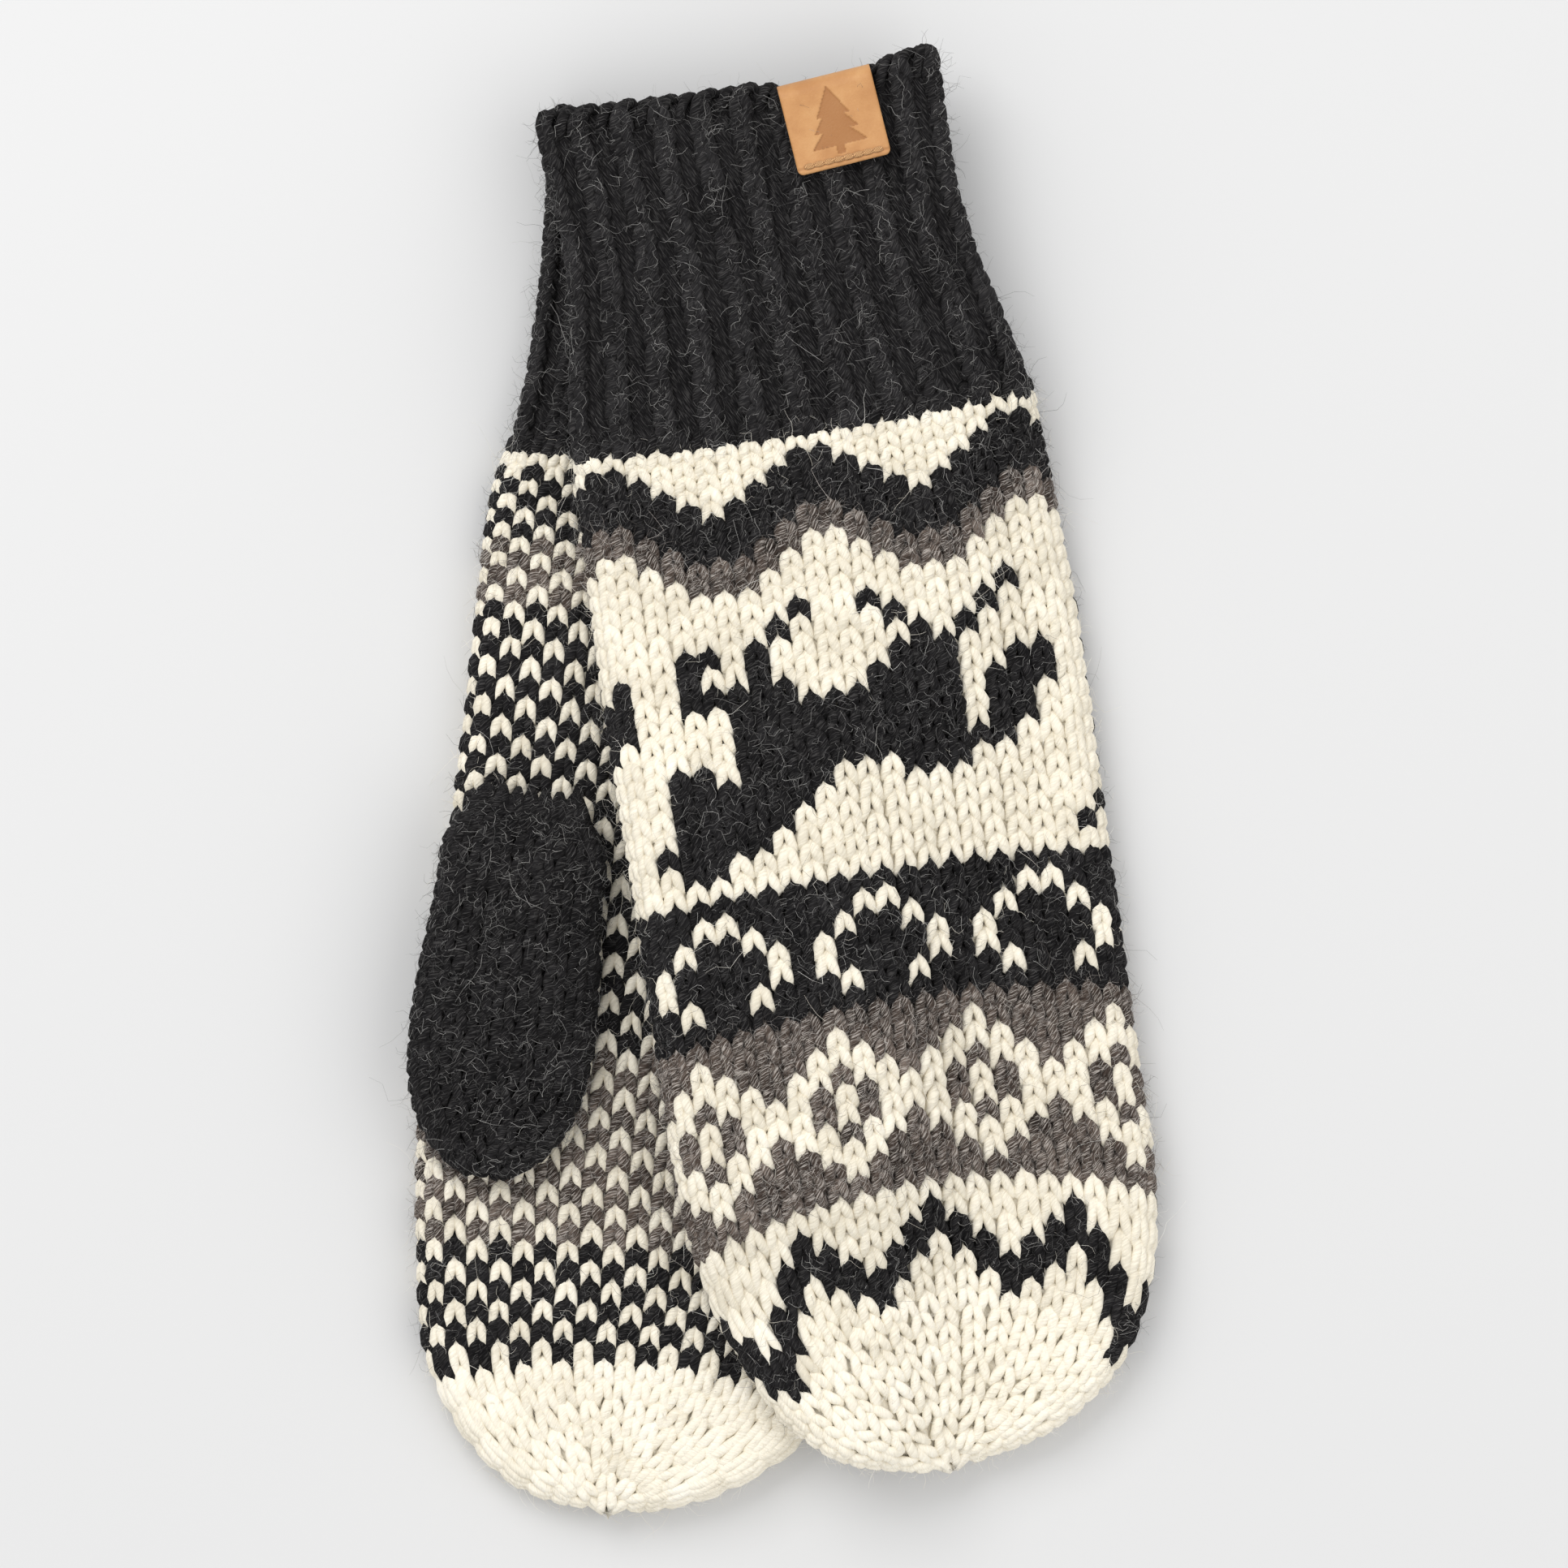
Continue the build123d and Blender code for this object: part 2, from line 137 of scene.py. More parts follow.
class Tube:
    """A flattened knitted tube: its middle line, half width, thickness and height, measured on CAD nodes.

    A draped tube's height is measured all over. Any other tube lies level."""

    LATERAL = 25

    def __init__(self, nodes, origin, along, draped, skip):
        self.tree, points = bvh_of(nodes)
        self.origin = np.array(origin[:2])
        self.along = np.array(along[:2]) / np.linalg.norm(along[:2])
        self.across = np.array((-self.along[1], self.along[0]))
        flat = points[:, :2] - self.origin
        reach = flat @ self.along
        self.first = reach.min()
        self.last = reach.max()
        self.low = points[:, 2].min()
        self.high = points[:, 2].max()
        count = int((self.last - self.first) / STATION_GAP) + 2
        self.stations = np.linspace(self.first + skip, self.last - TIP_SKIP, count)
        self.measure(draped)

    def place(self, station, offset):
        return self.origin + self.along * station + self.across * offset

    def side_reach(self, station, sign):
        """Offset of the outermost point on one side, seen by level rays from that side."""
        best = np.nan
        for height in np.arange(self.low + 0.5 * MM, self.high, SIDE_GAP):
            start = self.place(station, sign * SIDE_RAY)
            direction = -sign * self.across
            hit = self.tree.ray_cast(Vector((*start, height)), Vector((*direction, 0)), 2 * SIDE_RAY)
            if hit[0] is None:
                continue
            offset = (np.array(hit[0][:2]) - self.origin) @ self.across
            if np.isnan(best) or offset * sign > best * sign:
                best = offset
        return best

    def height_at(self, station, offset, sign):
        """Height of the upper face (sign 1) or the lower face (sign -1)."""
        start = self.place(station, offset)
        above = Vector((*start, sign * HEIGHT_RAY))
        hit = self.tree.ray_cast(above, Vector((0, 0, -sign)), 2 * HEIGHT_RAY)
        return np.nan if hit[0] is None else hit[0][2]

    def high_wall(self, station):
        return self.height_at(station, self.at(self.offset, station), 1)

    def measure(self, draped):
        left = fill_gaps([self.side_reach(station, -1) for station in self.stations])
        right = fill_gaps([self.side_reach(station, 1) for station in self.stations])
        self.offset = smooth_along((left + right) / 2, 0, 2)
        self.half = (right - left) / 2
        top = [self.height_at(*pair, 1) for pair in zip(self.stations, self.offset)]
        base = [self.height_at(*pair, -1) for pair in zip(self.stations, self.offset)]
        thick = fill_gaps(top) - fill_gaps(base)
        median = np.median(thick[2:-2])
        self.thick = np.where(thick < 0.3 * median, median, thick)
        self.middle = np.full((len(self.stations), self.LATERAL), (self.low + self.high) / 2)
        if not draped:
            return
        for row, station in enumerate(self.stations):
            radius = self.thick[row] / 2
            reach = max(self.half[row] - radius, 0.5 * MM) * 0.98
            heights = [self.height_at(station, self.offset[row] + share * reach, 1)
                       for share in np.linspace(-1, 1, self.LATERAL)]
            self.middle[row] = fill_gaps(heights) - radius
        for column in range(self.LATERAL):
            self.middle[:, column] = fill_gaps(self.middle[:, column])
        self.middle = smooth_along(smooth_along(self.middle, 1, 2), 0, 2)

    def ring(self, share, half, thick):
        """Stadium ring: share 0 at the -across edge, over the upper face to 0.5 at the other edge."""
        radius = thick / 2
        flat = np.maximum(half - radius, LEAST_FLAT)
        quarter = np.pi * radius / 2
        total = 4 * flat + 4 * quarter
        turn = np.mod(share, 1.0)
        lower = turn > 0.5
        arc = np.where(lower, 1 - turn, turn) * total
        on_left = arc < quarter
        on_right = arc > quarter + 2 * flat
        left_angle = arc / radius
        right_angle = (arc - quarter - 2 * flat) / radius
        across = np.where(on_left, -flat - radius * np.cos(left_angle),
                          np.where(on_right, flat + radius * np.sin(right_angle), -flat + arc - quarter))
        up = np.where(on_left, radius * np.sin(left_angle),
                      np.where(on_right, radius * np.cos(right_angle), radius))
        return across, np.where(lower, -up, up)

    def perimeter(self, station):
        half = self.at(self.half, station)
        radius = self.at(self.thick, station) / 2
        return 4 * np.maximum(half - radius, LEAST_FLAT) + 2 * np.pi * radius

    def at(self, values, station):
        return np.interp(station, self.stations, values)

    def locate(self, station, across, up):
        """Place in space from a station, a distance across and a height above the fabric's middle."""
        station = np.asarray(station, float)
        flat = np.maximum(self.at(self.half, station) - self.at(self.thick, station) / 2, LEAST_FLAT)
        lateral = across / flat
        row = self.at(np.arange(len(self.stations)), station)
        row_low = np.clip(row.astype(int), 0, len(self.stations) - 2)
        row_part = row - row_low
        column = (np.clip(lateral, -1, 1) + 1) / 2 * (self.LATERAL - 1)
        column_low = np.clip(column.astype(int), 0, self.LATERAL - 2)
        part = column - column_low
        grid = self.middle
        near, far = [grid[line, column_low] * (1 - part) + grid[line, column_low + 1] * part
                     for line in (row_low, row_low + 1)]
        middle = near * (1 - row_part) + far * row_part
        step = 2 / (self.LATERAL - 1) * flat
        left_slope = (grid[row_low, 1] - grid[row_low, 0]) / step
        right_slope = (grid[row_low, -1] - grid[row_low, -2]) / step
        middle = middle + right_slope * np.maximum(across - flat, 0)
        middle = middle + left_slope * np.minimum(across + flat, 0)
        sideways = self.at(self.offset, station) + across
        flat_place = self.origin + self.along * station[..., None] + self.across * sideways[..., None]
        return np.concatenate([flat_place, (middle + up)[..., None]], axis=-1)

    def point(self, station, share):
        station = np.asarray(station, float)
        across, up = self.ring(share, self.at(self.half, station), self.at(self.thick, station))
        return self.locate(station, across, up)


def normal_of(surface, height, share):
    """Outward direction of a surface given as a function of height and share of the round."""
    step = 0.4 * MM
    turn = 0.002
    along = surface(height + step, share) - surface(height - step, share)
    around = surface(height, share + turn) - surface(height, share - turn)
    return unit(np.cross(along, around))


def unit(vectors):
    return vectors / np.maximum(np.linalg.norm(vectors, axis=-1, keepdims=True), 1e-12)


# ---- mesh building

def new_object(name, data):
    obj = bpy.data.objects.new(name, data)
    bpy.context.scene.collection.objects.link(obj)
    return obj


def raw_mesh(name, points, loops, totals):
    """A smooth mesh from its corner numbers and how many corners each face has."""
    starts = np.cumsum(totals) - totals
    mesh = bpy.data.meshes.new(name)
    mesh.vertices.add(len(points))
    mesh.vertices.foreach_set("co", points.astype(np.float32).ravel())
    mesh.loops.add(len(loops))
    mesh.loops.foreach_set("vertex_index", loops.astype(np.int32))
    mesh.polygons.add(len(starts))
    mesh.polygons.foreach_set("loop_start", starts.astype(np.int32))
    mesh.polygons.foreach_set("loop_total", totals.astype(np.int32))
    mesh.update(calc_edges=True)
    mesh.polygons.foreach_set("use_smooth", np.ones(len(starts), bool))
    return mesh


def add_uv(mesh, name, u, v):
    layer = mesh.uv_layers.new(name=name)
    layer.data.foreach_set("uv", np.stack([u, v], 1).astype(np.float32).ravel())


def add_value(mesh, name, values):
    """A number for each vertex, which a material can read."""
    attribute = mesh.attributes.new(name, "FLOAT", "POINT")
    attribute.data.foreach_set("value", values.astype(np.float32))


def per_corner(near, far):
    """Values at the corners of every tube's side faces, then of its two end faces."""
    side_faces = np.stack([near[:, :-1], far[:, :-1], far[:, 1:], near[:, 1:]], -1)
    end_faces = np.concatenate([near[:, 0, ::-1], near[:, -1]])
    return np.concatenate([side_faces.ravel(), end_faces.ravel()])


FLOOR_GAP = 0.02 * MM
YARN_SHIFT = 11.7 * MM
BAKE_MARGIN = 0.06
BAKE_SPAN = 0.88


def yarn_mesh(name, centres, normals, radii, sides, tones, flatten=0.92):
    """Closed tubes along (tube, point, xyz) lines, with UVs along the yarn and a neat bake layout."""
    tubes, steps = centres.shape[:2]
    tangents = unit(np.gradient(centres, axis=1))
    side = unit(np.cross(tangents, normals))
    up = np.cross(side, tangents)
    angles = 2 * np.pi * np.arange(sides) / sides
    wide = np.cos(angles)[:, None] * side[:, :, None, :]
    tall = np.sin(angles)[:, None] * up[:, :, None, :] * flatten
    points = centres[:, :, None, :] + radii[:, :, None, None] * (wide + tall)
    points[..., 2] = np.maximum(points[..., 2], FLOOR_GAP)
    index = np.arange(tubes * steps * sides).reshape(tubes, steps, sides)
    nearer, further = index[:, :-1], index[:, 1:]
    quads = np.stack([nearer, np.roll(nearer, -1, 2), np.roll(further, -1, 2), further], -1).reshape(-1, 4)
    caps = np.concatenate([index[:, 0, ::-1], index[:, -1, :]])
    loops = np.concatenate([quads.ravel(), caps.ravel()])
    totals = np.concatenate([np.full(len(quads), 4), np.full(len(caps), sides)])
    mesh = raw_mesh(name, points.reshape(-1, 3), loops, totals)
    shape = (tubes, steps, sides)
    travelled = np.cumsum(np.linalg.norm(np.diff(centres, axis=1), axis=-1), 1)
    length = np.concatenate([np.zeros((tubes, 1)), travelled], 1)
    length = length + YARN_SHIFT * np.arange(tubes)[:, None]
    along = np.broadcast_to(length[:, :, None] / MM, shape)
    around = np.broadcast_to(np.arange(sides) / sides, shape)
    around_next = around + 1 / sides
    add_uv(mesh, "yarn", per_corner(along, along), per_corner(around, around_next))
    grid = math.ceil(math.sqrt(tubes))
    number = np.arange(tubes)[:, None, None]
    rise = (np.arange(steps) / (steps - 1))[None, :, None]
    left = number % grid + BAKE_MARGIN + BAKE_SPAN * around
    right = number % grid + BAKE_MARGIN + BAKE_SPAN * around_next
    up = np.broadcast_to(number // grid + BAKE_MARGIN + BAKE_SPAN * rise, shape)
    add_uv(mesh, "OFBake", per_corner(left, right) / grid, per_corner(up, up) / grid)
    add_value(mesh, "tone", np.repeat(tones, steps * sides))
    return mesh


def spline(points, per_span):
    """Catmull-Rom through the points."""
    points = np.array(points, float)
    padded = np.vstack([2 * points[0] - points[1], points, 2 * points[-1] - points[-2]])
    result = []
    for i in range(len(points) - 1):
        a, b, c, d = padded[i:i + 4]
        for t in np.arange(per_span) / per_span:
            result.append(0.5 * (2 * b + (c - a) * t + (2 * a - 5 * b + 4 * c - d) * t ** 2
                                 + (3 * b - a - 3 * c + d) * t ** 3))
    result.append(points[-1])
    return np.array(result)


# One leg of a loop: across in stitch widths, along in row heights, up in yarn radii
LEG = [(0.035, -0.84, -1.6), (0.095, -0.56, -0.62), (0.185, -0.16, 0.0), (0.29, 0.26, 0.02),
       (0.375, 0.62, -0.62), (0.25, 0.93, -1.65)]
LOOP = np.array([(-x, y, z) for x, y, z in LEG] + [(0, 1.0, -1.8)] + LEG[::-1])
LOOP_RADIUS = np.array([0.60, 0.88, 1.0, 1.0, 0.90, 0.70, 0.62, 0.70, 0.90, 1.0, 1.0, 0.88, 0.60])
# A purl stitch is the loop seen from behind: wider, flatter and set back
PURL = LOOP * (1.12, 0.92, -1.0) + (0, 0, -1.7)


def soft_step(value):
    value = np.clip(value, 0, 1)
    return value * value * (3 - 2 * value)


# ---- the knitted rows

# First row, last row and row height in mm, from the wrist to the cap
ROW_PITCHES = [(1, 8, 2.85), (8, 12, 3.3), (12, 17, 3.85), (17, 28, 3.72), (28, 50, 3.75)]
CAP_ROW = 50


def hand_rows():
    """Row number to height above the wrist, from row 0 to the cap's first row."""
    places = {1: 0.5 * ROW_PITCHES[0][2]}
    for first, last, pitch in ROW_PITCHES:
        for row in range(first + 1, last + 1):
            places[row] = places[row - 1] + pitch
    places[0] = places[1] - ROW_PITCHES[0][2]
    return {row: place * MM for row, place in places.items()}


HAND_ROWS = hand_rows()

# Figure panel on the back of the hand, fingertip end last: # is charcoal, . is cream
FIGURE = [
    ".........#..#.....#...",
    "........#....#...#....",
    "....##.#......#.#.....",
    ".#..#..#.....###......",
    "##..#####...####..##..",
    "##....##########.###..",
    "#.....##########.##...",
    "......##########.##...",
    "...##.############....",
    "...#######...###......",
    "...######.............",
    "...#####..............",
    "..#####..............#",
    "...##...............#.",
    "......................",
]
# Repeats on the back of the hand: C is cream, B is brown, . is charcoal
RINGS = ["..CC..", ".C..C.", "C....C", "C....C", ".C..C."]
DIAMONDS = ["BBBCBBB", "BBCCCBB", "BCCBCCB", "CCBCBCC", "CCBCBCC", "BCCBCCB", "BBCCCBB", "BBBCBBB"]


def wrist_zigzag(row, column):
    """Cream triangles, then a charcoal and a brown zigzag that repeat every 9 stitches."""
    step = int(min(abs((column - 1.5) % 9 - 4.5), 4.0))
    low = 6 - step
    high = (8, 8, 7, 6, 5)[step]
    if row < low:
        return "C"
    if row <= high:
        return "K"
    if row <= high + 2:
        return "B"
    return "C"


def back_colour(row, column):
    if row == 0:
        return "K"
    if row <= 11:
        return wrist_zigzag(row, column)
    if row <= 26:
        return "K" if FIGURE[row - 12][column] == "#" else "C"
    if row in (27, 33):
        return "K"
    if row <= 32:
        if column in (0, 7, 14, 21):
            return "K"
        return "C" if RINGS[row - 28][(column - 1) % 7] == "C" else "K"
    if row in (34, 43):
        return "B"
    if row <= 42:
        return DIAMONDS[row - 35][(column + 1) % 6]
    if row == 44:
        return "C"
    if row <= 49:
        start = 48 - abs((column + 1) % 6 - 3)
        return "K" if row in (start, start + 1) else "C"
    return "C"


def palm_colour(row, column):
    if row == 0:
        return "K"
    if row == 1 or (row + column) % 2 == 0:
        return "C"
    if 7 <= row <= 10 or 34 <= row <= 43:
        return "B"
    return "K"


# Shares of a mitten's length between which its rows' bow is given
BOW_PLACES = (0.58, 0.80, 1.0)


class Mitten:
    """One mitten's measured tube, and the places and colours of its stitches."""

    def __init__(self, side, opening, back_up, bows):
        mount = named(frame["record"]["mounts"], opening)
        along = [-value for value in mount["axis"]]
        self.side = side
        self.back_up = back_up
        self.bows = bows
        nodes = [f"{side}_cuff", f"{side}_hand", f"{side}_fingertip"]
        self.tube = Tube(nodes, mount["pos_m"], along, back_up, MOUTH_SKIP)
        self.tip = self.tube.last
        self.cap = CAPS[side]
        hand_length = self.tip - self.cap["length"] - WRIST_STATION
        self.stretch = hand_length / (HAND_ROWS[CAP_ROW] - HAND_ROWS[1] + 1.5 * MM)
        self.measure_edge()
        self.measure_cap()

    def measure_edge(self):
        """Where the upper wall of the cuff's mouth starts, at places across the mitten."""
        tube = self.tube
        whole_station = 15 * MM
        wall_drop = 4.5 * MM
        self.edge_lateral = np.linspace(-0.88, 0.88, 27)
        half = tube.at(tube.half, whole_station)
        offset = tube.at(tube.offset, whole_station)
        least_height = tube.high_wall(whole_station) - wall_drop
        edges = []
        for share in self.edge_lateral:
            found = np.nan
            for place in np.arange(-16 * MM, 16 * MM, 0.25 * MM):
                if tube.height_at(place, offset + share * half, 1) > least_height:
                    found = place
                    break
            edges.append(found)
        self.edges = smooth_along(fill_gaps(edges), 0, 1)

    def measure_cap(self):
        """How far round the fingertip each distance from the tip reaches before the edge, in radians."""
        tube = self.tube
        self.radii = np.linspace(0.5 * MM, self.cap["turn_start"], 70)
        spread = []
        for radius in self.radii:
            angles = np.linspace(0.02, 0.5 * np.pi, 400)
            stations = self.tip - radius * np.cos(angles)
            inside = radius * np.sin(angles) <= tube.at(tube.half, stations)
            spread.append(angles[inside].max() if inside.any() else 0.5 * np.pi)
        self.spread = smooth_along(np.array(spread), 0, 3)

    def stitch_colour(self, row, turn):
        """Face and yarn of the stitch at a place round the hand, 0 to 43."""
        upper = turn < FACE_STITCHES
        column = turn if upper else STITCHES_ROUND - 1 - turn
        if not self.back_up:
            column = FACE_STITCHES - 1 - column
        if upper == self.back_up:
            return "back", back_colour(row, column)
        return "palm", palm_colour(row, column)

    def lateral(self, share):
        """Place across the mitten, -1 to 1, of a share of the ring."""
        turn = np.mod(share, 1.0)
        folded = np.where(turn > 0.5, 1 - turn, turn)
        return np.clip(folded * 4 - 1, -1.05, 1.05)

    def middle_station(self, height):
        """Distance from the cuff edge, along the middle, of a height above the wrist."""
        station = WRIST_STATION + height * self.stretch
        cap_start = self.tip - self.cap["length"]
        return np.where(station > cap_start, cap_start + (station - cap_start) / self.stretch, station)

    def hand_surface(self, height, share):
        """The hand's rows run straight across near the wrist and turn into arcs round the fingertip."""
        tube = self.tube
        station = self.middle_station(np.asarray(height, float))
        bow_stations = [WRIST_STATION] + [self.tip * part for part in BOW_PLACES]
        bow = np.interp(station, bow_stations, self.bows) * MM
        straight = np.minimum(station + bow * self.lateral(share) ** 2, self.tip - 0.2 * MM)
        across, up = tube.ring(share, tube.at(tube.half, straight), tube.at(tube.thick, straight))
        radius = np.clip(self.tip - station, 0.6 * MM, self.cap["turn_start"])
        reach = np.interp(radius, self.radii, self.spread) * radius
        angle = np.clip(self.lateral(share), -1, 1) * reach / radius
        thick = tube.at(tube.thick, self.tip - radius * np.cos(angle))
        cap_across, cap_up = tube.ring(share, np.maximum(reach, thick / 2 + 0.3 * MM), thick)
        angle = cap_across / radius
        cap_station = self.tip - radius * np.cos(angle)
        cap_across = radius * np.sin(angle)
        turn_start, turn_end = self.cap["turn_start"], self.cap["turn_end"]
        blend = soft_step((station - (self.tip - turn_start)) / (turn_start - turn_end))
        return tube.locate(straight * (1 - blend) + cap_station * blend,
                           across * (1 - blend) + cap_across * blend, up * (1 - blend) + cap_up * blend)

    def cuff_surface(self, height, share):
        edge = np.interp(self.lateral(share), self.edge_lateral, self.edges)
        return self.tube.point(edge + height * (WRIST_STATION - edge) / WRIST_STATION, share)


# How unevenly the stitches lie: moved as a whole, bent along the yarn, and stretched
WOBBLE = 0.030
BEND = 0.014
STRETCH = 0.03


def lay_loops(surface, loop, stitches, depth, jitter=1.0):
    """Centre lines and normals of loops, from each stitch's height, row height, number of stitches round,
    column, width factor and lift."""
    values = [np.array(column, float)[:, None] for column in zip(*stitches)]
    height, pitch, count, column, widen, lift = values
    number = len(stitches)
    wobble = random.normal(0, WOBBLE * jitter, (number, 1, 3)) * (1, 1, 0.8)
    bend = random.normal(0, BEND * jitter, (number, loop.shape[0], 3))
    stretch = 1 + random.normal(0, STRETCH * jitter, (number, 1, 3))
    shape = loop[None] * stretch + wobble + bend
    share = (column + 0.5 + shape[..., 0] * widen) / count
    heights = height + shape[..., 1] * pitch
    normals = normal_of(surface, heights, share)
    raised = lift - depth + shape[..., 2] * YARN_RADIUS
    return surface(heights, share) + normals * raised[..., None], normals


YARN_NAME = {"C": "cream", "K": "charcoal", "B": "brown"}


# ---- materials

def colour(red, green, blue):
    """A colour as an sRGB byte triple."""
    def linear(value):
        value = value / 255
        return value / 12.92 if value <= 0.04045 else ((value + 0.055) / 1.055) ** 2.4
    return (linear(red), linear(green), linear(blue), 1)


class Nodes:
    """Small helper for writing a material's nodes."""

    def __init__(self, name):
        self.material = bpy.data.materials.new(name)
        self.material.use_nodes = True
        self.tree = self.material.node_tree
        self.shader = self.tree.nodes["Principled BSDF"]

    def feed(self, socket, value):
        if isinstance(value, bpy.types.NodeSocket):
            self.tree.links.new(value, socket)
        else:
            socket.default_value = value

    def add(self, kind, settings=None, **inputs):
        """A new node; inputs are named, or numbered as i0, i1 and so on."""
        node = self.tree.nodes.new(kind)
        for key, value in (settings or {}).items():
            setattr(node, key, value)
        for key, value in inputs.items():
            numbered = key[0] == "i" and key[1:].isdigit()
            self.feed(node.inputs[int(key[1:]) if numbered else key], value)
        return node

    def ramp(self, factor, *stops):
        node = self.add("ShaderNodeValToRGB", Fac=factor)
        elements = node.color_ramp.elements
        while len(elements) < len(stops):
            elements.new(0.5)
        for element, (place, shade) in zip(elements, stops):
            element.position = place
            element.color = shade
        return node.outputs["Color"]

    def math(self, operation, first, second):
        return self.add("ShaderNodeMath", {"operation": operation}, i0=first, i1=second).outputs[0]

    def weighted(self, *parts):
        """Sum of (value, weight) pairs."""
        terms = [self.math("MULTIPLY", value, weight) for value, weight in parts]
        total = terms[0]
        for term in terms[1:]:
            total = self.math("ADD", total, term)
        return total

    def mix(self, factor, first, second):
        return self.add("ShaderNodeMix", {"data_type": "RGBA"}, i0=factor, i6=first, i7=second).outputs[2]

    def noise(self, place, **inputs):
        return self.add("ShaderNodeTexNoise", Vector=place, **inputs).outputs["Fac"]

    def attribute(self, name):
        return self.add("ShaderNodeAttribute", {"attribute_name": name}).outputs["Fac"]

    def object_place(self):
        return self.add("ShaderNodeTexCoord").outputs["Object"]

    def yarn_place(self):
        """Distance along the yarn in mm, and share of the way round it."""
        uv = self.add("ShaderNodeUVMap", {"uv_map": "yarn"}).outputs["UV"]
        return self.add("ShaderNodeSeparateXYZ", Vector=uv).outputs[:2]

    def place(self, **inputs):
        return self.add("ShaderNodeCombineXYZ", **inputs).outputs[0]

    def bump(self, height, strength, distance):
        node = self.add("ShaderNodeBump", Height=height, Strength=strength, Distance=distance)
        self.set(Normal=node.outputs["Normal"])

    def set(self, **values):
        for key, value in values.items():
            self.feed(self.shader.inputs[key.replace("_", " ")], value)


def wool_material(name, deep, middle, light, fleck, fleck_amount, sheen_tint, sheen):
    """Twisted wool yarn: fine fibres run round the strand, flecks of other wool, and a soft sheen."""
    nodes = Nodes(name)
    along, around = nodes.yarn_place()
    twist = nodes.math("ADD", nodes.math("MULTIPLY", along, 0.28), around)
    fibre_place = nodes.place(X=nodes.math("MULTIPLY", along, 0.55), Y=nodes.math("MULTIPLY", twist, 9.0))
    fibres = nodes.noise(fibre_place, Scale=1.0, Detail=4.0, Roughness=0.65)
    ply = nodes.add("ShaderNodeTexWave", {"bands_direction": "Y"}, Vector=nodes.place(Y=twist),
                    Scale=0.955).outputs["Fac"]
    hair_along = nodes.math("MULTIPLY", along, 0.8)
    hair_place = nodes.place(X=hair_along, Y=nodes.math("MULTIPLY", twist, 14.0), Z=7.0)
    hairs = nodes.noise(hair_place, Scale=1.0, Detail=2.0, Roughness=0.6)
    cloud = nodes.noise(nodes.object_place(), Scale=120.0, Detail=3.0)
    value = nodes.weighted((fibres, 0.65), (cloud, 0.35), (nodes.attribute("tone"), 0.03))
    base = nodes.ramp(value, (0.30, deep), (0.50, middle), (0.72, light))
    mask = nodes.ramp(hairs, (0.50, (0, 0, 0, 1)), (0.64, (fleck_amount,) * 3 + (1,)))
    nodes.bump(nodes.weighted((fibres, 0.8), (ply, 0.12), (hairs, 0.5)), 0.9, 0.32 * MM)
    nodes.set(Base_Color=nodes.mix(mask, base, fleck), Roughness=0.95, Specular_IOR_Level=0.08,
              Sheen_Weight=sheen, Sheen_Roughness=0.5, Sheen_Tint=sheen_tint)
    return nodes.material


def fibre_material(name, shade, light):
    nodes = Nodes(name)
    tone = nodes.ramp(nodes.attribute("tone"), (0.0, shade), (1.0, light))
    nodes.set(Base_Color=tone, Roughness=0.8, Specular_IOR_Level=0.2, Sheen_Weight=0.3, Sheen_Roughness=0.5)
    return nodes.material


WOOL = {
    "C": wool_material("cream_wool", colour(222, 214, 195), colour(248, 241, 224), colour(254, 250, 240),
                       colour(222, 208, 184), 0.16, colour(255, 250, 240), 0.20),
    "K": wool_material("charcoal_wool", colour(10, 10, 11), colour(22, 21, 22), colour(42, 41, 42),
                       colour(98, 96, 95), 0.34, colour(130, 128, 128), 0.10),
    "B": wool_material("brown_wool", colour(32, 26, 23), colour(72, 62, 56), colour(140, 126, 116),
                       colour(206, 198, 190), 0.66, colour(180, 172, 166), 0.15),
}
FIBRE = {
    "C": fibre_material("cream_fibre", colour(236, 229, 214), colour(255, 253, 248)),
    "K": fibre_material("charcoal_fibre", colour(52, 51, 51), colour(196, 194, 190)),
    "B": fibre_material("brown_fibre", colour(74, 65, 60), colour(222, 214, 206)),
}


# ---- pieces

class Holder:
    """The CAD body that pieces follow, or two bodies and a line between them; pieces held by two bodies are left
    where they are built.
    """

    def __init__(self, body, other=None, start=None, end=None):
        self.body = body
        self.other = other
        self.start = start
        self.end = end

    def take(self, obj):
        if self.other:
            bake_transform(obj)
        else:
            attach(obj, self.body)


def finish_piece(name, mesh, material, holder):
    obj = new_object(name, mesh)
    obj.data.materials.append(material)
    holder.take(obj)
    return obj


YARN_SIDES = 8


def yarn_piece(name, lines, shade, holder, radius=YARN_RADIUS, profile=LOOP_RADIUS, tone=0.0):
    """Laid loops as yarn of slightly uneven thickness and tone."""
    centres, normals = lines
    number = len(centres)
    radii = radius * profile[None, :] * (1 + random.normal(0, 0.04, (number, 1)))
    radii = radii * (1 + random.normal(0, 0.05, radii.shape))
    tones = tone + random.normal(0, 1, number)
    mesh = yarn_mesh(name, centres, normals, radii, YARN_SIDES, tones)
    return finish_piece(name, mesh, WOOL[shade], holder)


